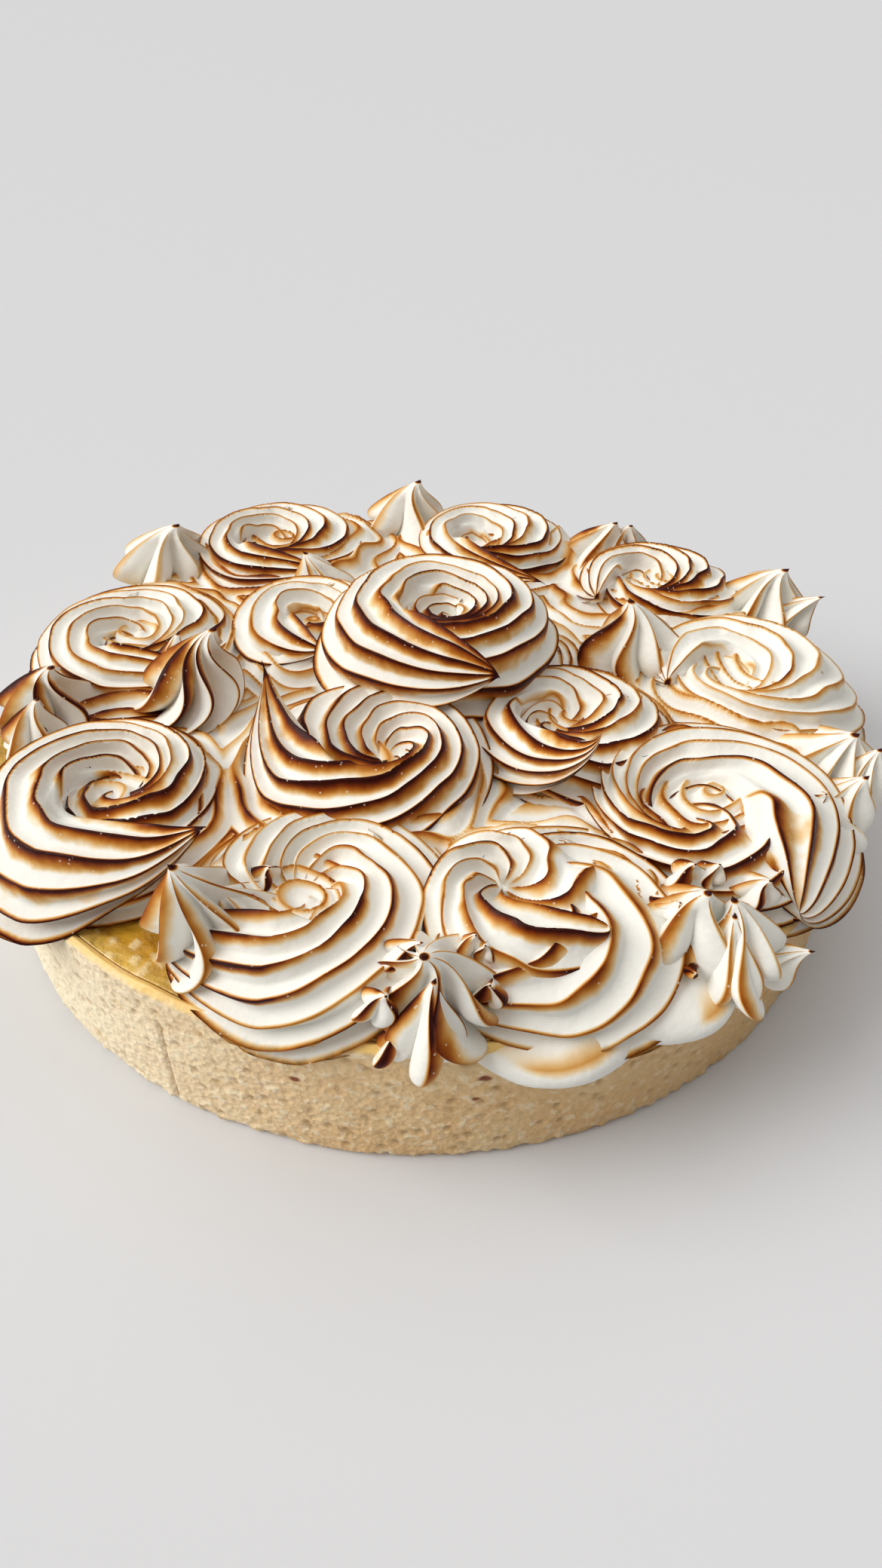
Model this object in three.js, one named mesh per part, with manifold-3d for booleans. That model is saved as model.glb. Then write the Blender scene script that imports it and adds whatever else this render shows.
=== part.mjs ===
// A family-size lemon meringue pie: a straight-sided shortcrust case, lemon curd filled level with its
// rim, and a topping of piped and torched meringue rosettes and kisses.
// Millimetres, +Z up, origin at the centre of the case's underside, the front of the pie towards -Y.
import * as THREE from "three";
import { mergeVertices } from "three/addons/utils/BufferGeometryUtils.js";
import Module from "manifold-3d";

const wasm = await Module();
wasm.setup();

// Driving dimensions.
const CASE = { radius: 125, height: 42, wall: 4, floor: 4.5, rimRound: 1.2, footRound: 1.5, sides: 56 };
const GAP = 0.3; // clearance between neighbouring pieces
const CURD_BELOW_RIM = 0.8;
const BED = { radius: 114, top: 47.5, edge: 3, wave: 3, waves: 9, sides: 36 };
const SAG = { from: 114, depth: 6, reach: 13 }; // meringue past `from` sinks over the rim
const ROSETTE = {
  rings: [0.16, 0.4, 0.64, 0.86, 1], // share of the way from whirl to outline
  crest: 0.46, // where the rope is highest
  dip: 0.6, // how far the whirl sinks, as a share of the height
  groove: 2.2, // depth of the grooves between two ridges
  scallop: 0.035, // how far the ridges stand out at the outline
  twist: 3.6, // radians that a ridge turns between whirl and outline
};
const KISS = {
  ridges: 6,
  rings: [0, 0.16, 0.42, 0.72],
  waist: 0.82, // share of the radius left at the foot
  groove: 0.24, // depth of the grooves as a share of the radius
  twist: 0.9,
};

const material = (color, roughness) => new THREE.MeshStandardMaterial({ color, roughness, metalness: 0 });
const pastry = () => material("#ecd6ab", 0.9);
const curd = () => material("#e2a92a", 0.35);
const meringue = () => material("#f7f1e6", 0.5);

// Closed surfaces as solids, and back.

function solid(geometry) {
  const bare = geometry.clone();
  bare.deleteAttribute("normal");
  bare.deleteAttribute("uv");
  const merged = mergeVertices(bare, 1e-4);
  const corners = merged.index.array;
  const kept = [];
  for (let i = 0; i < corners.length; i += 3) {
    const [a, b, c] = corners.subarray(i, i + 3);
    if (a !== b && b !== c && c !== a) kept.push(a, b, c);
  }
  const vertProperties = Float32Array.from(merged.attributes.position.array);
  return new wasm.Manifold(new wasm.Mesh({ numProp: 3, vertProperties, triVerts: Uint32Array.from(kept) }));
}

function geometryOf(body) {
  const { vertProperties, triVerts } = body.getMesh();
  const geometry = new THREE.BufferGeometry();
  geometry.setAttribute("position", new THREE.BufferAttribute(vertProperties, 3));
  geometry.setIndex(new THREE.BufferAttribute(triVerts, 1));
  geometry.computeVertexNormals();
  return geometry;
}

const largest = (body) => body.decompose().sort((a, b) => b.volume() - a.volume())[0];

// A surface through rings of equally many points, closed by one point above and one below.
function lofted(apex, rings, foot) {
  const points = [apex, ...rings.flat(), foot];
  const count = rings[0].length;
  const last = points.length - 1;
  const at = (ring, k) => 1 + ring * count + (k % count);
  const index = [];
  for (let k = 0; k < count; k++) {
    index.push(0, at(0, k), at(0, k + 1));
    index.push(last, at(rings.length - 1, k + 1), at(rings.length - 1, k));
    for (let ring = 0; ring < rings.length - 1; ring++) {
      index.push(at(ring, k), at(ring + 1, k), at(ring + 1, k + 1));
      index.push(at(ring, k), at(ring + 1, k + 1), at(ring, k + 1));
    }
  }
  const geometry = new THREE.BufferGeometry().setFromPoints(points);
  geometry.setIndex(index);
  return geometry;
}

// A solid of revolution about Z from [radius, height] pairs that start and end on the axis.
function turned(profile, sides) {
  const outline = profile.map(([r, z]) => new THREE.Vector2(r, z));
  return new THREE.LatheGeometry(outline, sides).rotateX(Math.PI / 2);
}

const mix = (a, b, t) => a + (b - a) * t;

// Soft meringue that reaches past the rim sinks over it.
function sagged(x, y, z) {
  const past = Math.max(0, Math.hypot(x, y) - SAG.from) / SAG.reach;
  return new THREE.Vector3(x, y, z - SAG.depth * (1 - Math.exp(-past * past)));
}

// The case and its filling.

function pastryCase() {
  const { radius, height, wall, floor, rimRound, footRound, sides } = CASE;
  return turned(
    [
      [0, 0],
      [radius - footRound, 0],
      [radius, footRound],
      [radius, height - rimRound],
      [radius - rimRound, height],
      [radius - wall + rimRound, height],
      [radius - wall, height - rimRound],
      [radius - wall, floor],
      [0, floor],
    ],
    sides,
  );
}

function filling() {
  const radius = CASE.radius - CASE.wall - GAP;
  const bottom = CASE.floor + GAP;
  const top = CASE.height - CURD_BELOW_RIM;
  return turned(
    [
      [0, bottom],
      [radius, bottom],
      [radius, top],
      [0, top],
    ],
    CASE.sides,
  );
}

// The room that the case and the filling take up, with the gap kept all round.
function caseRoom() {
  const radius = CASE.radius + GAP;
  return turned(
    [
      [0, -1],
      [radius, -1],
      [radius, CASE.height + GAP],
      [0, CASE.height + GAP],
    ],
    CASE.sides,
  );
}

// The thin layer that the rosettes stand on, its edge wavy where the spatula left it.
function bed(grow = 0) {
  const { radius, top, edge, wave, waves, sides } = BED;
  const ring = (inset, z) =>
    Array.from({ length: sides }, (_, k) => {
      const angle = (k / sides) * 2 * Math.PI;
      const r = radius + wave * Math.sin(waves * angle) + grow - inset;
      return new THREE.Vector3(r * Math.cos(angle), r * Math.sin(angle), z);
    });
  const low = CASE.height - 1;
  const high = top + grow;
  const rings = [ring(edge, high), ring(0, high - edge), ring(0, low)];
  return lofted(new THREE.Vector3(0, 0, high), rings, new THREE.Vector3(0, 0, low));
}

// A smooth fold of meringue: a ball pressed out to three half-widths.
function fold({ at, half, turn = 0 }, grow = 0) {
  const ball = new THREE.SphereGeometry(1, 12, 7).rotateX(Math.PI / 2);
  ball.scale(half[0] + grow, half[1] + grow, half[2] + grow);
  ball.rotateZ(turn);
  return ball.translate(...at);
}

// A rosette: one turn of ridged rope round a sunk whirl. Its ridges run out from the whirl as spirals.
// whirl and centre are the middles of the whirl and of the outline, and turn is 1 where the ridges wind
// outwards counter-clockwise seen from above.
function rosette({ whirl, centre, radius, base, height, turn, ridges, start = 0 }, grow = 0) {
  const { crest, dip, groove, scallop, twist } = ROSETTE;
  const dome = (s) =>
    s < crest ? 1 - dip * ((crest - s) / crest) ** 2 : Math.sqrt(Math.max(0, 1 - ((s - crest) / (1 - crest)) ** 2));
  const low = base - grow;
  const place = (s, angle, ridge) => {
    const reach = (radius + grow) * s * (1 + scallop * ridge * s);
    const x = mix(whirl[0], centre[0], s) + reach * Math.cos(angle);
    const y = mix(whirl[1], centre[1], s) + reach * Math.sin(angle);
    const cut = ridge < 0 && s < 1 ? groove * Math.sin(Math.PI * Math.min(1, s + 0.15)) : 0;
    return sagged(x, y, low + (height + 2 * grow) * dome(s) - cut);
  };
  const rings = ROSETTE.rings.map((s) =>
    Array.from({ length: 2 * ridges }, (_, k) =>
      place(s, start + (k / ridges) * Math.PI - turn * twist * (1 - s) ** 1.3, k % 2 ? -1 : 1),
    ),
  );
  const top = new THREE.Vector3(...whirl, low + (height + 2 * grow) * (1 - dip) - groove / 2);
  return lofted(top, rings, new THREE.Vector3(...centre, low));
}

// A kiss: a ridged drop pulled up to a point, given by the middle of its underside, its tip and its radius.
function kiss([foot, tip, radius], grow = 0) {
  const { ridges, waist, groove, twist } = KISS;
  const below = foot[2] - grow;
  const above = tip[2] + 3 * grow;
  const belly = (t) => (t < 0.16 ? mix(waist, 1, t / 0.16) : ((1 - t) / 0.84) ** 1.15);
  const rings = KISS.rings.map((t) =>
    Array.from({ length: 2 * ridges }, (_, k) => {
      const angle = (k / ridges) * Math.PI + twist * t;
      const reach = (radius * (k % 2 ? 1 - groove : 1) + grow) * belly(t) + grow * t;
      const lean = t ** 1.4;
      const x = mix(foot[0], tip[0], lean) + reach * Math.cos(angle);
      const y = mix(foot[1], tip[1], lean) + reach * Math.sin(angle);
      return new THREE.Vector3(x, y, mix(below, above, t));
    }),
  );
  const point = new THREE.Vector3(tip[0], tip[1], above);
  return lofted(point, rings.reverse(), new THREE.Vector3(foot[0], foot[1], below));
}

// Kisses fill the hollows between rosettes and are piped last, so they keep their whole form. Some were
// squeezed twice or more, and those squeezes run together.
const kisses = {
  kiss_left: [
    [[-107, -19, 43], [-101, -21, 68], 17],
    [[-103, -32, 44], [-100, -28, 63], 9],
  ],
  kiss_inner_left: [
    [[-68, -12, 46], [-59, -10, 74], 17],
    [[-73, -4, 48], [-71, -1, 66], 9],
  ],
  kiss_back_left: [[[-92, 71, 43], [-86, 69, 67], 20]],
  kiss_back: [[[-8, 103, 43], [-4, 103, 69], 18]],
  kiss_inner_back: [[[-33, 54, 46], [-39, 56, 63], 13]],
  kiss_back_right: [
    [[62, 82, 44], [66, 77, 66], 14],
    [[71, 82, 44], [72, 77, 65], 12],
  ],
  kiss_right_back: [
    [[111, 49, 42.5], [117, 46, 65], 17],
    [[118, 43, 42.5], [128, 36, 60], 10],
  ],
  kiss_inner_right: [[[65, 12, 46], [63, 14, 70], 18]],
  kiss_right: [
    [[108, -36, 42.5], [113, -38, 61], 17],
    [[115, -44, 42.5], [119, -43, 59], 10],
  ],
  kiss_right_low: [
    [[106, -54, 42.5], [113, -52, 57], 11],
    [[103, -62, 42.5], [103, -62, 54], 10],
  ],
  kiss_front_left: [[[-50, -98, 43], [-52, -101, 73], 16]],
  kiss_front: [[[3, -113, 43], [1, -119, 68], 16]],
  kiss_front_low: [[[0, -128, 38], [2, -126, 63], 10]],
  kiss_front_right: [
    [[59, -98, 43], [60, -99, 65], 14],
    [[68, -103, 42], [65, -101, 62], 13],
    [[63, -107, 41], [64, -104, 60], 10],
  ],
};

// Rosettes in the order in which they lie on each other, the uppermost first. tail is the point that
// the rope was drawn out to, as a kiss.
const rosettes = {
  rosette_crown: {
    whirl: [8, 1], centre: [5, 3], radius: 37, base: 56, height: 25, turn: 1, ridges: 7,
    tail: [[10, -22, 58], [20, -31, 71], 10],
  },
  rosette_front_middle: {
    whirl: [-10, -43], centre: [-14, -42], radius: 36, base: 45, height: 20, turn: -1, ridges: 7,
    tail: [[-43, -32, 46], [-42, -29, 75], 11],
  },
  rosette_left_front: {
    whirl: [-74, -54], centre: [-81, -60], radius: 35, base: 44, height: 19, turn: 1, ridges: 7,
    tail: [[-62, -78, 47], [-48, -83, 66], 12],
  },
  rosette_front_right: {
    whirl: [14, -90], centre: [30, -94], radius: 32, base: 44, height: 18, turn: -1, ridges: 7,
  },
  rosette_right_front: {
    whirl: [59, -64], centre: [75, -56], radius: 34, base: 44, height: 17, turn: -1, ridges: 7,
  },
  rosette_front_left: {
    whirl: [-29, -86], centre: [-22, -90], radius: 34, base: 44, height: 17, turn: -1, ridges: 7,
  },
  rosette_right: {
    whirl: [90, -8], centre: [101, 3], radius: 35, base: 43, height: 18, turn: 1, ridges: 7,
  },
  rosette_inner_right: {
    whirl: [38, -28], centre: [42, -27], radius: 29, base: 45, height: 18, turn: 1, ridges: 7,
    tail: [[43, -54, 46], [42, -61, 77], 10],
  },
  rosette_left_back: {
    whirl: [-87, 13], centre: [-87, 18], radius: 35, base: 44, height: 17, turn: 1, ridges: 7,
  },
  rosette_inner_left: {
    whirl: [-32, 25], centre: [-36, 27], radius: 28, base: 45, height: 17, turn: 1, ridges: 7,
  },
  rosette_back_right: {
    whirl: [75, 50], centre: [81, 54], radius: 30, base: 44, height: 17, turn: 1, ridges: 7,
  },
  rosette_back_middle: {
    whirl: [21, 76], centre: [26, 87], radius: 31, base: 44, height: 18, turn: 1, ridges: 7,
    tail: [[37, 52, 46], [39, 38, 61], 12],
  },
  rosette_back_left: {
    whirl: [-54, 78], centre: [-50, 82], radius: 35, base: 44, height: 17, turn: 1, ridges: 7,
  },
};

// Folds of the bed that hang over the rim at the front right and show under the rosettes.
const folds = [
  { at: [38, -112, 41], half: [27, 17, 11], turn: 0.3 },
  { at: [66, -99, 42], half: [20, 14, 9], turn: 0.75 },
  { at: [96, -64, 45], half: [12, 10, 7], turn: 1.0 },
];

const pie = new THREE.Group();

function addPart(name, geometry, look) {
  const mesh = new THREE.Mesh(geometry, look);
  mesh.name = name;
  pie.add(mesh);
}

addPart("crust", geometryOf(solid(pastryCase())), pastry());
addPart("lemon_curd", geometryOf(solid(filling())), curd());

const room = solid(caseRoom());
const bedBody = folds.reduce((body, f) => body.add(solid(fold(f))), solid(bed()));
const bedRoom = folds.reduce((body, f) => body.add(solid(fold(f, GAP))), solid(bed(GAP)));
addPart("meringue_bed", geometryOf(largest(bedBody.subtract(room))), meringue());

// Each topping gives way to the case, the bed and the toppings that lie over it.
const taken = [room, bedRoom];
const touches = (a, b) => {
  const p = a.boundingBox();
  const q = b.boundingBox();
  return [0, 1, 2].every((i) => p.min[i] < q.max[i] && q.min[i] < p.max[i]);
};

function addTopping(name, body, bodyRoom) {
  const cut = taken.filter((other) => touches(body, other)).reduce((rest, other) => rest.subtract(other), body);
  addPart(name, geometryOf(largest(cut)), meringue());
  taken.push(bodyRoom);
}

const together = (bodies) => bodies.reduce((whole, body) => whole.add(body));

for (const [name, squeezes] of Object.entries(kisses)) {
  const whole = (grow) => together(squeezes.map((squeeze) => solid(kiss(squeeze, grow))));
  addTopping(name, whole(0), whole(GAP));
}
for (const [name, spec] of Object.entries(rosettes)) {
  const whole = (grow) => {
    const body = solid(rosette(spec, grow));
    return spec.tail ? body.add(solid(kiss(spec.tail, grow))) : body;
  };
  addTopping(name, whole(0), whole(GAP));
}

export default pie;
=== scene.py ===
"""A lemon meringue pie: shortcrust case, lemon curd and a topping of piped, torched meringue."""
import math

import bmesh
import bpy
from mathutils import Matrix, Vector, noise


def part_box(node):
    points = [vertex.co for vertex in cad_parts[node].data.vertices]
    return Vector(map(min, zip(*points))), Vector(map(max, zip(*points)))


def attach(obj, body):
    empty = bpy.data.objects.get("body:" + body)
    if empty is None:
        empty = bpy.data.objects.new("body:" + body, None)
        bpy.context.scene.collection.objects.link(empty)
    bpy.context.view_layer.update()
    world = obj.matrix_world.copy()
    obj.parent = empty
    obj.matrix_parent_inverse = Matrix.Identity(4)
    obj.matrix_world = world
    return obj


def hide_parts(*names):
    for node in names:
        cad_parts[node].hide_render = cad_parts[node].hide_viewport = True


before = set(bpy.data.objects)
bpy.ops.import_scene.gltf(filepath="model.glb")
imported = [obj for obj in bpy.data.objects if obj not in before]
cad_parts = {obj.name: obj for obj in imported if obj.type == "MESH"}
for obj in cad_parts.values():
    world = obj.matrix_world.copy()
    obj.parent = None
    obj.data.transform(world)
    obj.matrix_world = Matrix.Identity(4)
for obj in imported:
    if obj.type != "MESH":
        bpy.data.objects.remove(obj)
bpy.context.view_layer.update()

# ---------------------------------------------------------------------------------------------------
# The place to work: a plain pale floor, a pale studio and the camera. The pie stands on the floor
# with the middle of its underside at the origin and its front towards -Y.

case_radius = 125.0
crust_low, crust_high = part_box("crust")
mm = (crust_high.x - crust_low.x) / 2 / case_radius

floor_reach, floor_drop = 30.0, 0.0002
corners = [(-1, -1), (1, -1), (1, 1), (-1, 1)]
floor_mesh = bpy.data.meshes.new("floor")
floor_points = [(floor_reach * i, floor_reach * j, -floor_drop) for i, j in corners]
floor_mesh.from_pydata(floor_points, [], [(0, 1, 2, 3)])
floor = bpy.data.objects.new("floor", floor_mesh)
bpy.context.collection.objects.link(floor)
floor_paint = bpy.data.materials.new("pale floor")
floor_paint.use_nodes = True
floor_finish = floor_paint.node_tree.nodes["Principled BSDF"]
floor_finish.inputs["Base Color"].default_value = (0.655, 0.665, 0.695, 1)
floor_finish.inputs["Roughness"].default_value = 0.85
floor_mesh.materials.append(floor_paint)

camera_place = (0, -0.24373, 0.21452)
camera_right = Vector((0.999793, -0.008861, 0.018293))
camera_up = Vector((-0.008268, 0.644864, 0.764253))
camera_data = bpy.data.cameras.new("camera")
camera_data.sensor_width = 36.0
camera_data.lens = 22.5
camera_data.clip_start = 0.01
camera = bpy.data.objects.new("camera", camera_data)
bpy.context.collection.objects.link(camera)
turned = Matrix((camera_right, camera_up, camera_right.cross(camera_up))).transposed()
camera.matrix_world = Matrix.Translation(camera_place) @ turned.to_4x4()
bpy.context.scene.camera = camera


def soft_light(name, towards, wide, strength, colour):
    """Daylight from one side: a lamp very far away, in the direction towards, as wide as a window."""
    data = bpy.data.lights.new(name, "SUN")
    data.angle = math.radians(wide)
    data.energy = strength
    data.color = colour
    lamp = bpy.data.objects.new(name, data)
    lamp.rotation_euler = Vector(towards).to_track_quat("Z", "Y").to_euler()
    bpy.context.collection.objects.link(lamp)


soft_light("window", (-1.0, -0.12, 0.72), 42, 2.4, (1.0, 0.985, 0.95))
soft_light("ceiling", (-0.05, 0.1, 1.0), 90, 1.38, (1.0, 0.985, 0.96))

studio = bpy.data.worlds.new("studio")
studio.use_nodes = True
pale_walls = studio.node_tree.nodes["Background"]
pale_walls.inputs["Color"].default_value = (0.93, 0.885, 0.82, 1)
pale_walls.inputs["Strength"].default_value = 0.21
bpy.context.scene.world = studio
bpy.context.scene.view_settings.view_transform = "Standard"

# ---------------------------------------------------------------------------------------------------
# The case: a straight-sided shell of pale shortcrust, pressed into a plain ring and baked through. Its
# side is all crumb and small holes, its foot is ragged, and the top edge was glazed and baked golden.


class Wire:
    """A number running through a node tree, on which ordinary arithmetic makes the nodes."""

    def __init__(self, tree, socket):
        self.tree = tree
        self.socket = socket

    def __add__(self, other):
        return work(self.tree, "ADD", self, other)

    def __radd__(self, other):
        return work(self.tree, "ADD", other, self)

    def __sub__(self, other):
        return work(self.tree, "SUBTRACT", self, other)

    def __rsub__(self, other):
        return work(self.tree, "SUBTRACT", other, self)

    def __mul__(self, other):
        return work(self.tree, "MULTIPLY", self, other)

    def __rmul__(self, other):
        return work(self.tree, "MULTIPLY", other, self)

    def __truediv__(self, other):
        return work(self.tree, "DIVIDE", self, other)

    def __pow__(self, other):
        return work(self.tree, "POWER", self, other)


def plug(tree, value, socket):
    """Puts a wire, a node's socket or a plain value into a socket."""
    if isinstance(value, Wire):
        tree.links.new(value.socket, socket)
    elif isinstance(value, bpy.types.NodeSocket):
        tree.links.new(value, socket)
    else:
        socket.default_value = value


def work(tree, operation, *values):
    """One step of arithmetic."""
    node = tree.nodes.new("ShaderNodeMath")
    node.operation = operation
    for value, socket in zip(values, node.inputs):
        plug(tree, value, socket)
    return Wire(tree, node.outputs[0])


def sin(w):
    return work(w.tree, "SINE", w)


def cos(w):
    return work(w.tree, "COSINE", w)


def lesser(a, b):
    return work(a.tree, "MINIMUM", a, b)


def greater(a, b):
    return work(a.tree, "MAXIMUM", a, b)


def held(w):
    """w kept between 0 and 1."""
    return lesser(greater(w, 0.0), 1.0)


def eased(w, start, end):
    """0 before start and 1 after end, with a soft change between them."""
    node = w.tree.nodes.new("ShaderNodeMapRange")
    node.interpolation_type = "SMOOTHSTEP"
    plug(w.tree, w, node.inputs["Value"])
    plug(w.tree, start, node.inputs["From Min"])
    plug(w.tree, end, node.inputs["From Max"])
    return Wire(w.tree, node.outputs["Result"])


def between(a, b, share):
    return a + (b - a) * share


def triple(tree, x, y, z):
    node = tree.nodes.new("ShaderNodeCombineXYZ")
    for value, socket in zip((x, y, z), node.inputs):
        plug(tree, value, socket)
    return node.outputs[0]


def parts_of(tree, socket):
    node = tree.nodes.new("ShaderNodeSeparateXYZ")
    tree.links.new(socket, node.inputs[0])
    return [Wire(tree, out) for out in node.outputs]


def cloudy(tree, x, y, z, scale=1.0, detail=2.0):
    """Smooth noise from 0 to 1 at three coordinates."""
    node = tree.nodes.new("ShaderNodeTexNoise")
    plug(tree, triple(tree, x, y, z), node.inputs["Vector"])
    node.inputs["Scale"].default_value = scale
    node.inputs["Detail"].default_value = detail
    return Wire(tree, node.outputs[0])


def dice(tree, w):
    """A random number from 0 to 1 for each value of w."""
    node = tree.nodes.new("ShaderNodeTexWhiteNoise")
    node.noise_dimensions = "1D"
    plug(tree, w, node.inputs["W"])
    return Wire(tree, node.outputs["Value"])


def finish_of(name):
    """A new material, with its tree, its surface and where the object's own coordinates come from."""
    paint = bpy.data.materials.new(name)
    paint.use_nodes = True
    tree = paint.node_tree
    coords = tree.nodes.new("ShaderNodeTexCoord")
    return paint, tree, tree.nodes["Principled BSDF"], parts_of(tree, coords.outputs["Object"])


def layered(tree, colour, *layers):
    """A colour with others over it in turn, each given with the share, from 0 to 1, that it covers."""
    share_in, below_in, above_in, mixed_out = 0, 6, 7, 2
    for share, above in layers:
        node = tree.nodes.new("ShaderNodeMix")
        node.data_type = "RGBA"
        plug(tree, share, node.inputs[share_in])
        plug(tree, colour, node.inputs[below_in])
        plug(tree, above, node.inputs[above_in])
        colour = node.outputs[mixed_out]
    return colour


def note_on(tree, label):
    """A number kept on the mesh's points."""
    node = tree.nodes.new("ShaderNodeAttribute")
    node.attribute_name = label
    return Wire(tree, node.outputs["Fac"])


def relief(tree, height, depth, surface):
    """Fine bumps too small for the mesh: height from 0 to 1 stands for depth in metres."""
    node = tree.nodes.new("ShaderNodeBump")
    node.inputs["Distance"].default_value = depth
    plug(tree, height, node.inputs["Height"])
    tree.links.new(node.outputs["Normal"], surface.inputs["Normal"])


def cells(tree, x, y, z, scale, output="Distance"):
    """How far a point is from the middle of its cell, or the cell's own random colour."""
    node = tree.nodes.new("ShaderNodeTexVoronoi")
    plug(tree, triple(tree, x, y, z), node.inputs["Vector"])
    node.inputs["Scale"].default_value = scale
    return Wire(tree, node.outputs[output])


def dots(tree, x, y, z, scale, size, chance):
    """Round dots in some of the cells. size and chance say where their soft edges start and end."""
    near = 1.0 - eased(cells(tree, x, y, z, scale), *size)
    return near * eased(cells(tree, x, y, z, scale, "Color"), *chance)


def band(above, below, sides, pole=None):
    """The faces between two rings of points, given the first point of each. A pole is one point."""
    faces = []
    for step in range(sides):
        after = (step + 1) % sides
        if pole == "above":
            faces.append((above, below + step, below + after))
        elif pole == "below":
            faces.append((above + step, below, above + after))
        else:
            faces.append((above + step, below + step, below + after, above + after))
    return faces


def turned_mesh(name, outline, sides, shape):
    """A closed turned mesh. outline lists radius and height in millimetres from the middle of the top
    to the middle of the bottom, and shape moves each point and says how far it is sunk."""
    points, sunk, faces, starts = [], [], [], []
    for radius, height in outline:
        starts.append(len(points))
        for step in range(sides if radius > 0 else 1):
            point, depth = shape(2 * math.pi * step / sides, radius, height)
            points.append([c * mm for c in point])
            sunk.append(depth)
    for row in range(len(outline) - 1):
        pole = "above" if outline[row][0] == 0 else "below" if outline[row + 1][0] == 0 else None
        faces += band(starts[row], starts[row + 1], sides, pole)
    mesh = bpy.data.meshes.new(name)
    mesh.from_pydata(points, [], faces)
    mesh.attributes.new("sunk", "FLOAT", "POINT").data.foreach_set("value", sunk)
    mesh.shade_smooth()
    piece = bpy.data.objects.new(name, mesh)
    bpy.context.collection.objects.link(piece)
    return piece


def spread_out(places, *ends):
    """Each stretch of an outline between two ends, cut into equal steps."""
    points = [ends[0]]
    for count, start, end in zip(places, ends, ends[1:]):
        for step in range(1, count + 1):
            share = step / count
            points.append(tuple(a + (b - a) * share for a, b in zip(start, end)))
    return points


def clipped(value):
    """A plain number kept between 0 and 1."""
    return max(0.0, min(1.0, value))


case = {"radius": case_radius, "height": 42.0, "wall": 4.0, "floor": 4.5, "sides": 1040, "rim": 38.5}
crack = {"angle": math.radians(-118.0), "low": 3.0, "high": 32.0, "half_width": 0.55, "depth": 0.9}


def rim_lift(x, y, height):
    """The top edge of the case is not quite level, and the filling in it follows."""
    return 0.55 * noise.noise(Vector((x / 9.0, y / 9.0, 5.0))) * clipped((height - case["rim"]) / 2.5)


def crumbly(angle, radius, height):
    """Where a point of the case really is: the turned shape with its holes, grains and ragged foot."""
    grain_size, cell_size, foot_height = 1.9, 3.1, 3.4
    x, y = radius * math.cos(angle), radius * math.sin(angle)
    spot = Vector((x, y, height))
    outer = clipped((radius - case["radius"] + 3.0) / 2.5)
    smooth_top = clipped((41.5 - height) / 3.0)
    broad = noise.noise(spot / 21.0) * 0.45
    crumb = noise.fractal(spot / grain_size, 0.7, 2.1, 3) * 0.22
    distances, middles = noise.voronoi(spot / cell_size)
    chance = noise.cell(middles[0] * 7.3)
    hole = 0.0
    if chance > 0.15:
        hole = max(0.0, 1.0 - distances[0] / 0.42) ** 0.7 * 0.75 * min(1.0, chance + 0.4)
    grain = max(0.0, 1.0 - distances[0] / 0.4) * 0.4 if chance < -0.35 else 0.0
    foot = max(0.0, 1.0 - height / foot_height)
    ragged = foot * (0.35 + 0.95 * noise.noise(spot / grain_size + Vector((7, 3, 1)))) * 1.1
    split = 0.0
    if crack["low"] < height < crack["high"]:
        off = abs((angle - 2 * math.pi - crack["angle"] + math.pi) % (2 * math.pi) - math.pi) * radius
        wander = 0.9 * noise.noise(Vector((0, 0, height / 5.0)))
        split = max(0.0, 1.0 - abs(off + wander) / crack["half_width"]) * crack["depth"]
    out = (broad + (crumb + grain - hole) * (0.25 + 0.75 * smooth_top) - ragged - split) * outer
    scale = (radius + out) / radius if radius else 1.0
    # How deep the point lies in a hole, the crack or a low grain, which the pastry's finish paints
    # darker as shade.
    depth = hole * 1.4 * smooth_top + split + max(0.0, -crumb) * 1.2
    return (x * scale, y * scale, max(0.0, height + rim_lift(x, y, height))), depth * outer


# The rows in each stretch of the outline, then the ends of the stretches: across the floor inside, up
# the inner wall, over the rim, down the side and back underneath.
top, outside = case["height"], case["radius"]
inside = outside - case["wall"]
case_outline = spread_out(
    (3, 4, 4, 3, 3, 60, 3, 3, 3),
    (0.0, case["floor"]), (inside - 1, case["floor"]), (inside, top - 3.2), (outside - 2.3, top - 0.5),
    (outside - 1.3, top), (outside, top - 1.3), (outside, 1.2), (outside - 1.0, 0.0),
    (outside - 12, 0.0), (0.0, 0.0),
)
crust = turned_mesh("baked_crust", case_outline, case["sides"], crumbly)

pastry, tree, surface, (x, y, z) = finish_of("baked shortcrust")
crumbs = cloudy(tree, x, y, z, scale=420.0, detail=4.0)
patches = cloudy(tree, x, y, z, scale=60.0, detail=3.0)
streaks = cloudy(tree, x, y, z * 2.5, scale=150.0, detail=2.0)
right, back, level = x / mm, y / mm, z / mm
glazed = eased(level + (patches - 0.5) * 3.0, 39.6, 41.6)

# Burnt specks: small ones here and there, and three bigger ones with their places and sizes.
burnt = dots(tree, x, y, z, 95.0, size=(0.05, 0.13), chance=(0.87, 0.9))
big_specks = ((-27.3, -122.0, 27.4, 1.9), (13.8, -124.2, 31.0, 2.2), (12.1, -124.4, 23.8, 1.7))
for speck_x, speck_y, speck_z, size in big_specks:
    dx, dy, dz = right - speck_x, back - speck_y, level - speck_z
    away = (dx * dx + dy * dy + dz * dz * 2.0) ** 0.5 + crumbs * 1.4
    burnt = greater(burnt, 1.0 - eased(away, size * 0.75, size * 1.25))

# A line of small dark bubbles under the rim at the front left.
front_left = (1.0 - eased(right, -92.0, -80.0)) * (1.0 - eased(back, -70.0, -60.0))
under_rim = eased(level, 35.2, 36.2) * (1.0 - eased(level, 37.4, 38.2)) * front_left
rim_bubbles = dots(tree, x, y, z, 520.0, size=(0.12, 0.2), chance=(0.5, 0.55)) * under_rim

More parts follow.
